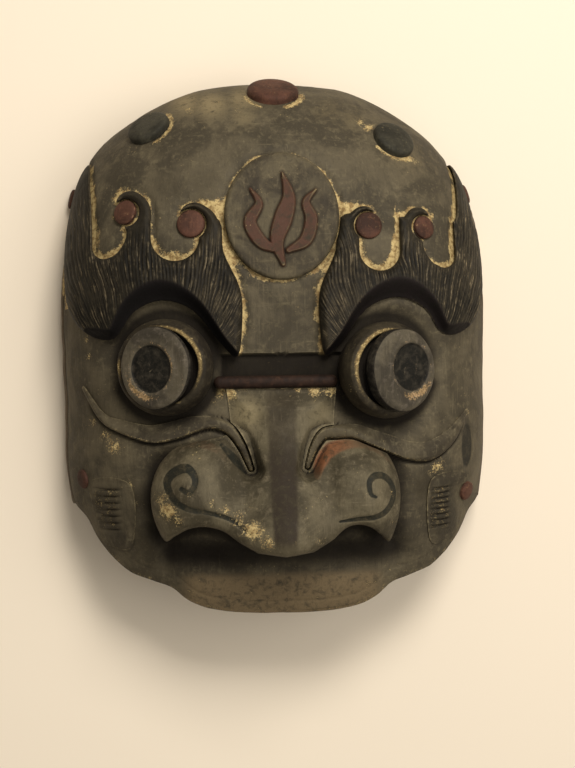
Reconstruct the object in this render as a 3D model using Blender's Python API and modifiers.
"""Carved wooden lion mask: hollow head shell with brows, eyes, snout, knobs and beads.

Metres, +Z out of the face, +Y towards the crown, +X to the right of the viewer.
The mask lies face up on its flat back rim, so the rim is at z = 0.
"""
import math

import bmesh
import bpy
import numpy as np
from mathutils import Matrix, Vector

MM = 0.001

# Main sizes, in millimetres
HALF_WIDTH = 155.0      # rim, centre to side
DEPTH = 118.0           # rim plane to the middle of the bare face
WALL = 10.0             # thickness of the wood
ROUND = 3.4             # how square the face is: higher is flatter in the middle
TRIM_OVER = 3.0         # the jaw trim passes this far outside the rim where nothing is cut
SEAM = 0.4              # gap between a carved piece and the face under it
TALL = 2.0 * DEPTH      # cutters reach this high, well over every piece
BELOW = -0.2 * DEPTH    # and this far under the rim plane

# Rim outline of one half, crown to chin
# angle from the side in degrees; reach as a share of HALF_WIDTH;
# edge height over the rim plane as a share of DEPTH
RIM = [
    # angle  reach   edge
    (90.0, 1.248, 0.00),
    (82.0, 1.256, 0.00),
    (74.0, 1.264, 0.00),
    (66.0, 1.252, 0.00),
    (60.0, 1.242, 0.00),
    (54.0, 1.234, 0.00),
    (47.5, 1.217, 0.00),
    (41.0, 1.187, 0.00),
    (34.0, 1.137, 0.00),
    (29.0, 1.110, 0.00),
    (23.5, 1.077, 0.00),
    (17.6, 1.047, 0.00),
    (8.6, 1.015, 0.00),
    (0.0, 1.000, 0.00),
    (-8.0, 1.008, 0.00),
    (-14.0, 1.026, 0.00),
    (-21.5, 1.068, 0.00),
    (-31.0, 1.148, 0.00),
    (-36.2, 1.197, 0.00),
    (-37.4, 1.174, 0.35),
    (-41.0, 1.163, 0.41),
    (-46.0, 1.192, 0.49),
    (-51.3, 1.208, 0.56),
    (-56.0, 1.210, 0.63),
    (-59.8, 1.190, 0.67),
    (-65.3, 1.170, 0.71),
    (-69.0, 1.198, 0.73),
    (-73.0, 1.206, 0.74),
    (-78.0, 1.200, 0.75),
    (-83.0, 1.191, 0.75),
    (-90.0, 1.183, 0.75),
]
# Angles at which the upright jaw cut is set out, between the columns of the loft
JAW_HALF = (-89.1, -84.7, -80.2, -75.6, -71.2, -67.3, -64.1, -61.6, -58.3, -54.9, -52.3, -48.9, -44.2, -41.9,
            -37.9, -37.3, -36.1, -25.3, -3.7, 20.3, 38.7, 57.7, 79.3)
JAW_CUT = JAW_HALF + tuple(180.0 - a for a in JAW_HALF[::-1])
RING_STEPS = (0.0, 0.22, 0.42, 0.58, 0.71, 0.81, 0.88, 0.93, 0.965, 0.988, 1.0)

# Eyes
# place of the foot as shares of HALF_WIDTH, how far the axis leans outwards in degrees,
# height in mm of the lip's centre over the face,
# height of the ball's rim over the lip as a share of EYE_LIP_R
EYES = {
    #        across  up     lean  stand  lift
    "left": (0.507, -0.079, 34.0, 14.0, 0.30),
    "right": (0.459, -0.105, 36.0, 17.0, 0.44),
}
EYE_LIP_R = 30.0        # lip of the collar, seen from the front
EYE_FLARE = 2.7         # the collar's foot is this much wider than its lip
EYE_SLIDE = 2.8         # the lip's centre lies this far outwards of the foot's centre
EYE_BALL_INSET = 1.9    # the ball's cap is this much smaller than the lip
EYE_STEM_CLEAR = 1.0    # room round the ball's stem in the collar's bore
BROW_CLEAR = 0.8        # room between the collar and its neighbours
EYE_BORE = 0.84         # bore of the collar, share of EYE_LIP_R
EYE_FLOOR = -0.10       # floor of the collar, share of EYE_LIP_R
EYE_RIDGE = 0.075       # top of the collar's lip, share of EYE_LIP_R
# radius and height along the axis as shares of EYE_LIP_R
RING_PROFILE = [(0.00, EYE_FLOOR), (EYE_BORE, EYE_FLOOR), (EYE_BORE, 0.00), (0.86, 0.05), (0.90, EYE_RIDGE),
                (0.95, 0.06), (1.00, 0.00), (1.04, -0.12), (1.20, -1.60), (0.00, -1.60)]

# Turned knobs and beads
CROWN_KNOB_R = 18.5
SIDE_KNOB_R = 15.5
KNOB_PROFILE = [(0.00, 0.40), (0.72, 0.40), (0.90, 0.34), (0.98, 0.22), (1.00, 0.06), (0.96, -0.06),
                (0.93, -0.60), (0.00, -0.60)]
# name, angle from the side in degrees, distance from the middle as a share of the dome's reach, radius
KNOBS = [
    ("knob_crown", 90.0, 0.930, CROWN_KNOB_R),
    ("knob_left", 119.5, 0.905, SIDE_KNOB_R),
    ("knob_right", 60.0, 0.860, SIDE_KNOB_R),
]
KNOB_LIFT = 1.0         # height of the widest ring over the face
BEAD_PROFILE = [(0.00, 0.62), (0.40, 0.56), (0.74, 0.36), (0.94, 0.08), (1.00, -0.20), (1.00, -1.20),
                (0.00, -1.20)]

# Beads that stand free: name, x and y as shares of HALF_WIDTH
FREE_BEADS = [
    ("bead_outer_left", -0.936, 0.716),
    ("bead_outer_right", 0.910, 0.710),
    ("bead_cheek_left", -0.885, -0.581),
    ("bead_cheek_right", 0.848, -0.665),
]
OUTER_BEAD_R = 7.5
CHEEK_BEAD_R = 7.0
FREE_BEAD_LIFT = 0.30   # share of the bead's radius that its widest ring stands off the face
CURL_BEAD_LIFT = 0.75

# Brow of combed hair
BROW_RISE = 12.0
BROW_SPREAD = 3.2
BROW_LOW = 0.22         # height over the rim plane at which the outer lobe ends, share of DEPTH
# body of the brow before the bays are cut, inner tip first, as shares of HALF_WIDTH
BROW_BODY = [
    # across  up
    (0.190, -0.035),
    (0.168, 0.120),
    (0.176, 0.260),
    (0.245, 0.420),
    (0.262, 0.560),
    (0.400, 0.600),
    (0.540, 0.590),
    (0.600, 0.640),
    (0.700, 0.600),
    (0.810, 0.560),
    (0.838, 0.720),
    (0.850, 0.860),
    (0.905, 0.810),
    (0.955, 0.640),
    (0.974, 0.380),
    (0.945, 0.180),
    (0.850, 0.070),
    (0.730, 0.050),
    (0.640, 0.165),
    (0.516, 0.213),
    (0.380, 0.165),
    (0.262, 0.020),
]
# bays where the forehead shows between the locks, shares of HALF_WIDTH
BAYS = {
    "left": [
        # across  bottom  half_width  lean
        (0.455, 0.384, 0.106, 0.000),
        (0.753, 0.400, 0.068, 0.035),
    ],
    "right": [
        (0.442, 0.330, 0.092, 0.000),
        (0.716, 0.338, 0.074, 0.030),
    ],
}
BAY_TOP = 1.10
BAY_OVER = 30.0
# curls that hook over a bead, shares of HALF_WIDTH; the tip angle is from +X outwards
CURLS = {
    "left": [
        # name    across  up     channel  stem   crest  tip_angle
        ("inner", 0.384, 0.545, 0.068, 0.064, 0.030, 48.0),
        ("middle", 0.672, 0.606, 0.062, 0.058, 0.040, 48.0),
    ],
    "right": [
        ("inner", 0.394, 0.529, 0.066, 0.062, 0.026, 62.0),
        ("middle", 0.648, 0.523, 0.058, 0.050, 0.040, 60.0),
    ],
}
HOOK_START = 205.0      # the hook leaves the stem at this angle
BEAD_CLEAR = 1.0        # gap between a bead and the channel that the curl leaves round it

# Medallion on the forehead
MEDAL_X = 2.0
MEDAL_Y = 89.5
MEDAL_HALF_W = 39.0
MEDAL_HALF_H = 44.0
MEDAL_RISE = 5.0
MEDAL_CLEAR = 0.9       # room between the medallion and the brows
MOTIF_RISE = 8.0
# Flame motif: each stroke is a row of (x share, y share, half thickness share) of MEDAL_HALF_W
MOTIF = [
    [(0.00, -0.86, 0.05), (-0.10, -0.45, 0.13), (0.02, -0.05, 0.17), (0.12, 0.32, 0.12), (0.02, 0.74, 0.03)],
    [(-0.10, -0.62, 0.06), (-0.38, -0.46, 0.12), (-0.56, -0.12, 0.12), (-0.40, 0.20, 0.08),
     (-0.54, 0.46, 0.03)],
    [(0.10, -0.62, 0.06), (0.40, -0.44, 0.12), (0.50, -0.08, 0.12), (0.42, 0.22, 0.08), (0.60, 0.44, 0.03)],
]

# Snout, front outline of one half as shares of HALF_WIDTH
SNOUT = [
    # across   up
    (0.000, -0.178),
    (0.242, -0.178),
    (0.215, -0.290),
    (0.190, -0.400),
    (0.240, -0.472),
    (0.300, -0.420),
    (0.375, -0.404),
    (0.465, -0.430),
    (0.535, -0.500),
    (0.572, -0.590),
    (0.575, -0.680),
    (0.553, -0.770),
    (0.516, -0.835),
    (0.470, -0.805),
    (0.410, -0.772),
    (0.340, -0.765),
    (0.265, -0.785),
    (0.195, -0.835),
    (0.120, -0.880),
    (0.000, -0.895),
]
# Snout sections, bridge to tip: up share of HALF_WIDTH, then heights as shares of DEPTH
# at the middle, at one third and two thirds of the half width, and at the side
SNOUT_SECTIONS = [
    # up      middle third  two_3  side
    (-0.15, 1.045, 1.035, 1.00, 0.90),
    (-0.25, 1.075, 1.060, 1.02, 0.92),
    (-0.38, 1.115, 1.095, 1.06, 0.94),
    (-0.50, 1.170, 1.150, 1.15, 1.02),
    (-0.62, 1.235, 1.200, 1.21, 1.08),
    (-0.74, 1.300, 1.240, 1.23, 1.08),
    (-0.84, 1.340, 1.260, 1.20, 1.02),
    (-0.92, 1.300, 1.200, 1.10, 0.92),
]
SNOUT_HALF = 0.594      # half width of the block those heights are given for, share of HALF_WIDTH
WING_ROOT = 0.215       # the wings start here, share of HALF_WIDTH
RIGHT_WING = 0.80       # the right wing is this much as wide as the left one

# Roll across the top of the bridge, from collar to collar
ROLL_R = 4.2
ROLL_Y = -0.148         # share of HALF_WIDTH
ROLL_CLEAR = 1.2
ROLL_SEAT = 0.6         # height of its middle over the face, share of ROLL_R

# Cheek folds: path as shares of HALF_WIDTH and half thickness in mm
FOLDS = {
    "left": [
        # across   up     half thickness
        (0.880, -0.170, 1.6),
        (0.800, -0.305, 3.2),
        (0.709, -0.362, 4.6),
        (0.575, -0.402, 5.6),
        (0.461, -0.383, 5.6),
        (0.385, -0.350, 5.0),
        (0.310, -0.328, 4.6),
        (0.235, -0.357, 4.4),
        (0.180, -0.430, 3.4),
        (0.140, -0.525, 2.0),
    ],
    "right": [
        (0.850, -0.300, 1.6),
        (0.760, -0.408, 3.2),
        (0.659, -0.474, 4.6),
        (0.561, -0.487, 5.6),
        (0.477, -0.467, 5.6),
        (0.393, -0.430, 5.2),
        (0.312, -0.380, 5.0),
        (0.236, -0.366, 4.8),
        (0.171, -0.375, 4.4),
        (0.130, -0.435, 3.4),
        (0.105, -0.520, 2.0),
    ],
}
FOLD_RISE = 5.0
FOLD_SPREAD = 2.4
FOLD_CLEAR = 0.8        # room between a fold and the snout

# Combed tufts on the cheeks
TUFT = [(0.665, -0.600), (0.845, -0.580), (0.850, -0.700), (0.815, -0.850), (0.760, -0.885), (0.665, -0.870)]
TUFT_RISE = 5.0
TUFT_SPREAD = 2.5

SHARP_ANGLE = 40.0      # round pieces keep sharp only the edges above this
SIDES = (("left", -1.0), ("right", 1.0))


def smooth_closed(points, per_span):
    """Catmull-Rom points round a closed outline."""
    pts = np.array(points, float)
    count = len(pts)
    out = []
    for i in range(count):
        p0, p1, p2, p3 = pts[i - 1], pts[i], pts[(i + 1) % count], pts[(i + 2) % count]
        for k in range(per_span):
            t = k / per_span
            out.append(0.5 * (2 * p1 + (p2 - p0) * t + (2 * p0 - 5 * p1 + 4 * p2 - p3) * t * t
                              + (3 * p1 - p0 - 3 * p2 + p3) * t ** 3))
    return np.array(out)


def smooth_open(points, per_span):
    """Catmull-Rom points along an open path, ends kept."""
    pts = np.array(points, float)
    pts = np.vstack([2 * pts[0] - pts[1], pts, 2 * pts[-1] - pts[-2]])
    out = []
    for i in range(1, len(pts) - 2):
        p0, p1, p2, p3 = pts[i - 1], pts[i], pts[i + 1], pts[i + 2]
        for k in range(per_span):
            t = k / per_span
            out.append(0.5 * (2 * p1 + (p2 - p0) * t + (2 * p0 - 5 * p1 + 4 * p2 - p3) * t * t
                              + (3 * p1 - p0 - 3 * p2 + p3) * t ** 3))
    out.append(pts[-2])
    return np.array(out)


RIM_TABLE = np.array(RIM[::-1])

# The dome is fuller at the viewer's upper left than at the upper right
LEFT_FULL_ANGLE = 129.0     # where it is fullest, in degrees from the right side
LEFT_FULL_SPAN = 19.0       # half width of the fuller stretch, in degrees
LEFT_FULL_SHARE = 0.031     # added reach there, as a share of HALF_WIDTH


def rim_at(angle):
    """Reach (mm), edge height (mm) and reach of the dome carried down to the rim plane (mm)."""
    turned_back = angle + 360.0 if angle < -90.0 else angle
    fold = min(turned_back, 180.0 - turned_back)
    fuller = LEFT_FULL_SHARE * math.exp(-((turned_back - LEFT_FULL_ANGLE) / LEFT_FULL_SPAN) ** 2)
    reach = (np.interp(fold, RIM_TABLE[:, 0], RIM_TABLE[:, 1]) + fuller) * HALF_WIDTH
    edge = np.interp(fold, RIM_TABLE[:, 0], RIM_TABLE[:, 2]) * DEPTH
    full = reach / (1.0 - (edge / DEPTH) ** 2) ** (1.0 / ROUND)
    return reach, edge, full


def face_height(x, y):
    """Height of the bare face over the rim plane."""
    full = rim_at(math.degrees(math.atan2(y, x)))[2]
    share = min(1.0, math.hypot(x, y) / full)
    return DEPTH * math.sqrt(max(0.0, 1.0 - share ** ROUND))


def face_normal(x, y):
    """Unit normal of the bare face."""
    step = 1.5
    dx = (face_height(x + step, y) - face_height(x - step, y)) / (2 * step)
    dy = (face_height(x, y + step) - face_height(x, y - step)) / (2 * step)
    return Vector((-dx, -dy, 1.0)).normalized()


def column_angles():
    """Angles of the loft columns, once round from the chin."""
    half = [float(row[0]) for row in RIM_TABLE]
    right = [a for a in half]
    left = [180.0 - a for a in half[::-1]][1:-1]
    return right + left


COLUMNS = column_angles()


def column_data(angle):
    """Direction of a column and its rim values."""
    rad = math.radians(angle)
    reach, edge, full = rim_at(angle)
    return math.cos(rad), math.sin(rad), reach, edge, full


def make_object(name, verts, faces, collection):
    """Mesh object from points in millimetres."""
    mesh = bpy.data.meshes.new(name)
    mesh.from_pydata([tuple(c * MM for c in v) for v in verts], [], faces)
    bm = bmesh.new()
    bm.from_mesh(mesh)
    bmesh.ops.recalc_face_normals(bm, faces=bm.faces)
    bm.to_mesh(mesh)
    bm.free()
    obj = bpy.data.objects.new(name, mesh)
    collection.objects.link(obj)
    return obj


def loft_rings(rings):
    """Faces joining closed rings of equal length, with a single point at each end."""
    verts = [rings[0]]
    faces = []
    starts = []
    for ring in rings[1:-1]:
        starts.append(len(verts))
        verts.extend(ring)
    verts.append(rings[-1])
    count = len(rings[1])
    for k in range(count):
        faces.append((0, starts[0] + (k + 1) % count, starts[0] + k))
    for a, b in zip(starts, starts[1:]):
        for k in range(count):
            n = (k + 1) % count
            faces.append((a + k, a + n, b + n, b + k))
    last = len(verts) - 1
    for k in range(count):
        faces.append((starts[-1] + k, starts[-1] + (k + 1) % count, last))
    return verts, faces


def dome_solid(name, rise, spread, floor, collection):
    """Solid under the face grown by rise at the middle and spread at the rim, down to a floor height."""
    rings = [(0.0, 0.0, DEPTH + rise)]
    for share in RING_STEPS[1:]:
        ring = []
        for angle in COLUMNS:
            cx, cy, reach, edge, full = column_data(angle)
            r = share * (full + spread)
            ring.append((cx * r, cy * r, (DEPTH + rise) * math.sqrt(max(0.0, 1.0 - share ** ROUND))))
        rings.append(ring)
    if floor < 0.0:
        rings.append([(x, y, floor) for x, y, z in rings[-1]])
    rings.append((0.0, 0.0, floor))
    verts, faces = loft_rings(rings)
    return make_object(name, verts, faces, collection)


def prism(name, outline, low, high, collection):
    """Filled 2D curve extruded between two heights, turned into a mesh."""
    curve = bpy.data.curves.new(name, "CURVE")
    curve.dimensions = "2D"
    curve.fill_mode = "BOTH"
    curve.extrude = (high - low) / 2.0 * MM
    spline = curve.splines.new("POLY")
    spline.points.add(len(outline) - 1)
    for point, (x, y) in zip(spline.points, outline):
        point.co = (x * MM, y * MM, 0.0, 1.0)
    spline.use_cyclic_u = True
    holder = bpy.data.objects.new(name + "_curve", curve)
    collection.objects.link(holder)
    bpy.context.view_layer.update()
    depsgraph = bpy.context.evaluated_depsgraph_get()
    mesh = bpy.data.meshes.new_from_object(holder.evaluated_get(depsgraph))
    mesh.transform(Matrix.Translation((0.0, 0.0, (high + low) / 2.0 * MM)))
    bpy.data.objects.remove(holder)
    bm = bmesh.new()
    bm.from_mesh(mesh)
    bmesh.ops.remove_doubles(bm, verts=bm.verts, dist=0.00001)
    bmesh.ops.recalc_face_normals(bm, faces=bm.faces)
    bm.to_mesh(mesh)
    bm.free()
    obj = bpy.data.objects.new(name, mesh)
    collection.objects.link(obj)
    return obj


def turned(name, profile, size, steps, matrix, collection):
    """Body of revolution from a profile at +X, turned by a Screw modifier and placed."""
    mesh = bpy.data.meshes.new(name)
    points = [(r * size * MM, 0.0, h * size * MM) for r, h in profile]
    closed = profile[0][0] > 0.0
    edges = [(i, i + 1) for i in range(len(points) - 1)]
    if closed:
        edges.append((len(points) - 1, 0))
    mesh.from_pydata(points, edges, [])
    obj = bpy.data.objects.new(name, mesh)
    collection.objects.link(obj)
    screw = obj.modifiers.new("Turn", "SCREW")
    screw.steps = steps
    screw.render_steps = steps
    screw.use_merge_vertices = True
    screw.merge_threshold = 0.00001
    screw.use_smooth_shade = False
    settle(obj)
    bm = bmesh.new()
    bm.from_mesh(obj.data)
    bmesh.ops.recalc_face_normals(bm, faces=bm.faces)
    bm.to_mesh(obj.data)
    bm.free()
    obj.data.transform(matrix)
    return obj


def settle(obj):
    """Put the modifiers' result into the mesh."""
    bpy.context.view_layer.update()
    depsgraph = bpy.context.evaluated_depsgraph_get()
    mesh = bpy.data.meshes.new_from_object(obj.evaluated_get(depsgraph))
    old = obj.data
    obj.modifiers.clear()
    obj.data = mesh
    mesh.name = obj.name
    bpy.data.meshes.remove(old)


def cut(obj, tool, operation):
    """Boolean between two solids."""
    mod = obj.modifiers.new(operation.title(), "BOOLEAN")
    mod.operation = operation
    mod.solver = "EXACT"
    mod.object = tool
    settle(obj)


def tidy(obj):
    """Weld what the cuts left closer than a hundredth of a millimetre."""
    bm = bmesh.new()
    bm.from_mesh(obj.data)
    bmesh.ops.remove_doubles(bm, verts=bm.verts, dist=0.00002)
    bmesh.ops.dissolve_degenerate(bm, edges=bm.edges, dist=0.00001)
    loose = [v for v in bm.verts if not v.link_faces]
    bmesh.ops.delete(bm, geom=loose, context="VERTS")
    bmesh.ops.triangulate(bm, faces=bm.faces)
    bm.to_mesh(obj.data)
    bm.free()


def material(name, colour, roughness):
    """Principled material of one node."""
    mat = bpy.data.materials.new(name)
    mat.use_nodes = True
    shader = mat.node_tree.nodes["Principled BSDF"]
    shader.inputs["Base Color"].default_value = (*colour, 1.0)
    shader.inputs["Roughness"].default_value = roughness
    return mat


def wood(obj, colour, roughness=0.62):
    """Give a node its own material."""
    obj.data.materials.clear()
    obj.data.materials.append(material("mat_" + obj.name, colour, roughness))


def placed(x, y, z, axis):
    """Matrix that stands a turned body at a point along an axis, sizes in millimetres."""
    turn = Vector((0.0, 0.0, 1.0)).rotation_difference(axis).to_matrix().to_4x4()
    return Matrix.Translation((x * MM, y * MM, z * MM)) @ turn


def on_face(x, y, lift):
    """Matrix of a turned body standing on the face at (x, y)."""
    normal = face_normal(x, y)
    z = face_height(x, y)
    return placed(x + normal.x * lift, y + normal.y * lift, z + normal.z * lift, normal)


PATINA = (0.105, 0.088, 0.064)
HAIR = (0.030, 0.026, 0.021)
RED = (0.150, 0.060, 0.042)
GREEN = (0.045, 0.050, 0.040)


def brow_outline(side):
    """Outline of the body of one brow in millimetres."""
    points = smooth_closed(np.array(BROW_BODY) * HALF_WIDTH, 2)
    points[:, 0] *= side
    return [tuple(p) for p in points]


def bay_outline(side, row):
    """Round-bottomed bay that is open towards the crown."""
    across, bottom, half, lean = (value * HALF_WIDTH for value in row)
    turn = np.linspace(0.0, math.pi, 13)
    floor = [(across - half * math.cos(t), bottom + half - half * math.sin(t)) for t in turn]
    top = BAY_TOP * HALF_WIDTH
    points = floor + [(across + half + lean, top), (across - half + lean, top)]
    return [(side * x, y) for x, y in points]


def curl_outline(side, row):
    """Hook that leaves the stem beside the bead, goes over it and ends in a tip."""
    across, up, channel, stem, crest = (value * HALF_WIDTH for value in row[1:6])
    start = math.radians(HOOK_START)
    tip = math.radians(row[6])
    outer = []
    inner = []
    for share in np.linspace(0.0, 1.0, 13):
        angle = start + (tip - start) * share
        if share < 0.5:
            thick = stem + (crest - stem) * share / 0.5
        else:
            thick = crest * (1.0 - ((share - 0.5) / 0.5) ** 2) + 0.25
        inner.append((across + channel * math.cos(angle), up + channel * math.sin(angle)))
        outer.append((across + (channel + thick) * math.cos(angle), up + (channel + thick) * math.sin(angle)))
    return [(side * x, y) for x, y in outer + inner[::-1]]


def brow_solid(word, side, skin, core, parts, tools):
    """One brow: body, less its bays, with its hooks, between the face and the skin over it."""
    brow = prism("brow_" + word, brow_outline(side), BROW_LOW * DEPTH, TALL, parts)
    for k, row in enumerate(BAYS[word]):
        bay = prism("cut_bay_%s_%d" % (word, k), bay_outline(side, row), BELOW, TALL + BAY_OVER, tools)
        cut(brow, bay, "DIFFERENCE")
    for row in CURLS[word]:
        hook = prism("cut_hook_%s_%s" % (word, row[0]), curl_outline(side, row), BROW_LOW * DEPTH + 1.0,
                     TALL - 1.0, tools)
        cut(brow, hook, "UNION")
    cut(brow, skin, "INTERSECT")
    cut(brow, core, "DIFFERENCE")
    return brow


def bead_with_room(name, x, y, radius, lift, room, parts, tools):
    """A turned bead on the face and the round cutter that keeps its neighbours clear."""
    place = on_face(x, y, lift * radius)
    bead = turned(name, BEAD_PROFILE, radius, 18, place, parts)
    shape = [(0.0, 1.5), (1.0, 1.5), (1.0, -2.2), (0.0, -2.2)]
    return bead, turned("cut_" + name, shape, room, 18, place, tools)


def wing_x(across):
    """Place across the snout, with the right wing drawn in."""
    if across <= WING_ROOT:
        return across
    return WING_ROOT + (across - WING_ROOT) * RIGHT_WING


def ball_profile(lift):
    """Section of the eye's ball in millimetres: a wide cap on a stem that stands in the collar."""
    cap = EYE_LIP_R - EYE_BALL_INSET
    stem = EYE_BORE * EYE_LIP_R - EYE_STEM_CLEAR
    rim = lift * EYE_LIP_R
    under = EYE_RIDGE * EYE_LIP_R + 2.0 * SEAM
    foot = EYE_FLOOR * EYE_LIP_R + SEAM
    edge = under + (rim - under) * 0.45
    return [(0.0, rim + 1.0), (0.60 * cap, rim + 1.2), (0.80 * cap, rim + 0.7), (0.93 * cap, rim - 0.6),
            (0.985 * cap, rim - 2.2), (cap, edge), (0.97 * cap, under + 0.6), (stem, under), (stem, foot),
            (0.0, foot)]


def snout_block(name, collection):
    """Block whose upper face carries the bridge, the wings and the tip."""
    columns = (-1.0, -0.8, -0.6, -0.4, -0.2, -0.07, 0.07, 0.2, 0.4, 0.6, 0.8, 1.0)
    top = []
    for row in SNOUT_SECTIONS:
        for c in columns:
            height = np.interp(abs(c), (0.0, 0.333, 0.667, 1.0), row[1:]) * DEPTH
            top.append((wing_x(c * SNOUT_HALF) * HALF_WIDTH, row[0] * HALF_WIDTH, float(height)))
    wide = len(columns)
    deep = len(SNOUT_SECTIONS)
    verts = top + [(x, y, DEPTH / 3.0) for x, y, z in top]
    half = len(top)
    faces = []
    for j in range(deep - 1):
        for i in range(wide - 1):
            a = j * wide + i
            faces.append((a, a + 1, a + wide + 1, a + wide))
            faces.append((half + a, half + a + wide, half + a + wide + 1, half + a + 1))
    border = [i for i in range(wide)] + [j * wide + wide - 1 for j in range(1, deep)]
    border += [(deep - 1) * wide + i for i in range(wide - 2, -1, -1)]
    border += [j * wide for j in range(deep - 2, 0, -1)]
    for k, a in enumerate(border):
        b = border[(k + 1) % len(border)]
        faces.append((a, b, half + b, half + a))
    return make_object(name, verts, faces, collection)


def stroke_outline(rows):
    """Closed outline of a tapering stroke given by points and half thicknesses."""
    path = smooth_open(rows, 3)
    line = path[:, :2]
    tangent = np.gradient(line, axis=0)
    tangent /= np.linalg.norm(tangent, axis=1)[:, None]
    normal = np.column_stack([-tangent[:, 1], tangent[:, 0]])
    left = line + normal * path[:, 2:3]
    right = line - normal * path[:, 2:3]
    return [tuple(p) for p in left] + [tuple(p) for p in right[::-1]]


def build():
    """Build every node."""
    for obj in list(bpy.data.objects):
        bpy.data.objects.remove(obj)
    scene = bpy.context.scene
    parts = bpy.data.collections.new("lion_mask")
    tools = bpy.data.collections.new("cutters")
    scene.collection.children.link(parts)
    scene.collection.children.link(tools)

    shell = dome_solid("mask_shell", 0.0, 0.0, 0.0, parts)
    hollow = dome_solid("cut_hollow", -WALL, -WALL, BELOW, tools)
    cut(shell, hollow, "DIFFERENCE")
    trim = []
    for angle in JAW_CUT:
        cx, cy, reach, edge, full = column_data(angle)
        r = reach if edge > 0.0 else full + TRIM_OVER
        trim.append((cx * r, cy * r))
    cut(shell, prism("cut_jaw_trim", trim, BELOW * 2.0, TALL, tools), "INTERSECT")
    tidy(shell)
    wood(shell, PATINA)

    core = dome_solid("cut_core", SEAM, SEAM, BELOW, tools)
    brow_skin = dome_solid("cut_brow_skin", BROW_RISE, BROW_SPREAD, BELOW, tools)
    medal_skin = dome_solid("cut_medal_skin", MEDAL_RISE, MEDAL_RISE, BELOW, tools)
    motif_skin = dome_solid("cut_motif_skin", MOTIF_RISE, MOTIF_RISE, BELOW, tools)
    fold_skin = dome_solid("cut_fold_skin", FOLD_RISE, FOLD_SPREAD, BELOW, tools)
    tuft_skin = dome_solid("cut_tuft_skin", TUFT_RISE, TUFT_SPREAD, BELOW, tools)

    ellipse = [(MEDAL_X + MEDAL_HALF_W * math.cos(t), MEDAL_Y + MEDAL_HALF_H * math.sin(t))
               for t in np.linspace(0.0, 2 * math.pi, 49)[:-1]]
    wide_ellipse = [(MEDAL_X + (MEDAL_HALF_W + MEDAL_CLEAR) * math.cos(t),
                     MEDAL_Y + (MEDAL_HALF_H + MEDAL_CLEAR) * math.sin(t))
                    for t in np.linspace(0.0, 2 * math.pi, 49)[:-1]]
    medal_clear = prism("cut_medallion", wide_ellipse, BELOW, TALL, tools)

    medallion = prism("medallion", ellipse, DEPTH / 4.0, TALL, parts)
    cut(medallion, medal_skin, "INTERSECT")
    for k, rows in enumerate(MOTIF):
        table = np.array(rows) * MEDAL_HALF_W
        table[:, 0] += MEDAL_X
        table[:, 1] += MEDAL_Y
        stroke = prism("motif_%d" % k, stroke_outline(table), DEPTH / 4.0, TALL, tools)
        cut(stroke, motif_skin, "INTERSECT")
        cut(medallion, stroke, "UNION")
    cut(medallion, core, "DIFFERENCE")
    tidy(medallion)
    wood(medallion, RED)

    eye_clear = {}
    for word, side in SIDES:
        across, up, lean, stand, lift = EYES[word]
        foot_x = side * across * HALF_WIDTH
        foot_y = up * HALF_WIDTH
        lean = math.radians(lean)
        axis = Vector((side * math.sin(lean), 0.0, math.cos(lean)))
        place = placed(foot_x + side * EYE_SLIDE, foot_y, face_height(foot_x, foot_y) + stand, axis)
        widen = Matrix.Diagonal((1.0 / math.cos(lean), 1.0, 1.0, 1.0))
        turn = np.linspace(0.0, 2 * math.pi, 41)[:-1]
        foot_r = EYE_LIP_R + EYE_FLARE + SEAM
        clear_r = foot_r + BROW_CLEAR
        column = [(foot_x + foot_r * math.cos(t), foot_y + foot_r * math.sin(t)) for t in turn]
        clear = [(foot_x + clear_r * math.cos(t), foot_y + clear_r * math.sin(t)) for t in turn]
        post = prism("cut_eye_post_" + word, column, DEPTH / 6.0, TALL, tools)
        eye_clear[word] = prism("cut_eye_clear_" + word, clear, BELOW, TALL, tools)

        ring = turned("eye_ring_" + word, RING_PROFILE, EYE_LIP_R, 28, place @ widen, parts)
        cut(ring, post, "INTERSECT")
        cut(ring, core, "DIFFERENCE")
        tidy(ring)
        wood(ring, HAIR)
        ball = turned("eye_ball_" + word, ball_profile(lift), 1.0, 28, place, parts)
        cut(ball, core, "DIFFERENCE")
        tidy(ball)
        wood(ball, PATINA)

        brow = brow_solid(word, side, brow_skin, core, parts, tools)
        cut(brow, eye_clear[word], "DIFFERENCE")
        cut(brow, medal_clear, "DIFFERENCE")
        for row in CURLS[word]:
            x = side * row[1] * HALF_WIDTH
            y = row[2] * HALF_WIDTH
            channel = row[3] * HALF_WIDTH
            name = "bead_%s_%s" % (row[0], word)
            radius = channel - BEAD_CLEAR
            bead, room = bead_with_room(name, x, y, radius, CURL_BEAD_LIFT, channel, parts, tools)
            cut(brow, room, "DIFFERENCE")
            cut(bead, core, "DIFFERENCE")
            tidy(bead)
            wood(bead, RED)

        rows = np.array(FOLDS[word])
        rows[:, :2] *= HALF_WIDTH
        rows[:, 0] *= side
        fold = prism("cheek_fold_" + word, stroke_outline(rows), 5.0, TALL, parts)
        cut(fold, fold_skin, "INTERSECT")
        cut(fold, eye_clear[word], "DIFFERENCE")
        cut(fold, core, "DIFFERENCE")

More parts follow.
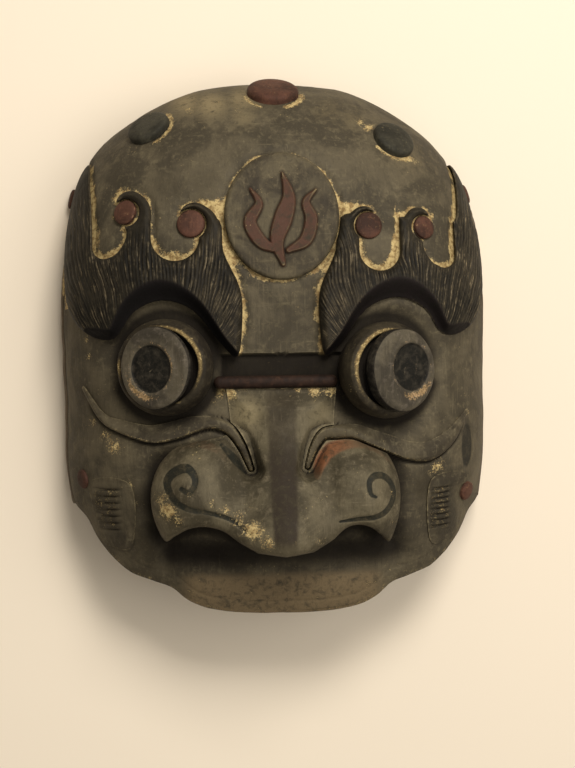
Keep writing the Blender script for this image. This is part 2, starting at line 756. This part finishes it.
        tuft_points = smooth_closed(np.array(TUFT) * HALF_WIDTH, 2)
        tuft_points[:, 0] *= side
        tuft = prism("cheek_tuft_" + word, [tuple(p) for p in tuft_points], 5.0, TALL, parts)
        cut(tuft, tuft_skin, "INTERSECT")
        cut(tuft, core, "DIFFERENCE")
        for name, bx, by in FREE_BEADS:
            if not name.endswith(word):
                continue
            radius = CHEEK_BEAD_R if "cheek" in name else OUTER_BEAD_R
            bead, room = bead_with_room(name, bx * HALF_WIDTH, by * HALF_WIDTH, radius, FREE_BEAD_LIFT,
                                        radius + BEAD_CLEAR / 2.0, parts, tools)
            cut(tuft if "cheek" in name else brow, room, "DIFFERENCE")
            cut(bead, core, "DIFFERENCE")
            tidy(bead)
            wood(bead, RED)
        tidy(brow)
        wood(brow, HAIR)
        tidy(tuft)
        wood(tuft, PATINA)

        tidy(fold)
        wood(fold, PATINA)

    right = [(wing_x(x) * HALF_WIDTH, y * HALF_WIDTH) for x, y in SNOUT]
    left = [(-x * HALF_WIDTH, y * HALF_WIDTH) for x, y in SNOUT[-2:0:-1]]
    snout = prism("snout", right + left, DEPTH * 0.4, TALL, parts)
    block = snout_block("cut_snout_block", tools)
    cut(snout, block, "INTERSECT")
    cut(snout, core, "DIFFERENCE")
    for word, side in SIDES:
        cut(snout, eye_clear[word], "DIFFERENCE")
        rows = np.array(FOLDS[word])
        rows[:, 2] += FOLD_CLEAR
        rows[:, :2] *= HALF_WIDTH
        rows[:, 0] *= side
        groove = prism("cut_fold_clear_" + word, stroke_outline(rows), BELOW, TALL + BAY_OVER, tools)
        cut(snout, groove, "DIFFERENCE")
    tidy(snout)
    wood(snout, PATINA)

    roll_curve = bpy.data.curves.new("bridge_roll_path", "CURVE")
    roll_curve.dimensions = "3D"
    roll_curve.bevel_depth = ROLL_R * MM
    roll_curve.bevel_resolution = 3
    roll_curve.use_fill_caps = True
    spline = roll_curve.splines.new("POLY")
    spline.points.add(6)
    roll_y = ROLL_Y * HALF_WIDTH
    ends = []
    for word, side in SIDES:
        across, up = EYES[word][:2]
        away = EYE_LIP_R + EYE_FLARE + SEAM + ROLL_CLEAR
        drop = roll_y - up * HALF_WIDTH
        ends.append(side * (across * HALF_WIDTH - math.sqrt(max(0.0, away ** 2 - drop ** 2))))
    for point, x in zip(spline.points, np.linspace(ends[0], ends[1], 7)):
        z = face_height(x, roll_y) + ROLL_R * ROLL_SEAT
        point.co = (x * MM, roll_y * MM, z * MM, 1.0)
    roll = bpy.data.objects.new("bridge_roll", roll_curve)
    parts.objects.link(roll)
    bpy.context.view_layer.update()
    mesh = bpy.data.meshes.new_from_object(roll.evaluated_get(bpy.context.evaluated_depsgraph_get()))
    bpy.data.objects.remove(roll)
    roll = bpy.data.objects.new("bridge_roll", mesh)
    parts.objects.link(roll)
    bm = bmesh.new()
    bm.from_mesh(mesh)
    bmesh.ops.remove_doubles(bm, verts=bm.verts, dist=0.00001)
    bmesh.ops.recalc_face_normals(bm, faces=bm.faces)
    bm.to_mesh(mesh)
    bm.free()
    cut(roll, core, "DIFFERENCE")
    tidy(roll)
    wood(roll, RED)

    for name, angle, share, radius in KNOBS:
        rad = math.radians(angle)
        reach = rim_at(angle)[2] * share
        spot = on_face(math.cos(rad) * reach, math.sin(rad) * reach, KNOB_LIFT)
        knob = turned(name, KNOB_PROFILE, radius, 28, spot, parts)
        cut(knob, core, "DIFFERENCE")
        tidy(knob)
        wood(knob, RED if name == "knob_crown" else GREEN)

    low = Vector((1e9, 1e9, 1e9))
    high = -low
    for obj in parts.objects:
        for v in obj.data.vertices:
            low = Vector(map(min, low, v.co))
            high = Vector(map(max, high, v.co))
    move = Matrix.Translation((-(low.x + high.x) / 2.0, -(low.y + high.y) / 2.0, -low.z))
    for obj in parts.objects:
        obj.data.transform(move)
        if obj.name.startswith(("bead", "knob", "eye", "bridge_roll")):
            obj.data.shade_smooth()
            obj.data.set_sharp_from_angle(angle=math.radians(SHARP_ANGLE))
    for tool in list(tools.objects):
        tool.hide_render = True
        tool.display_type = "WIRE"


build()
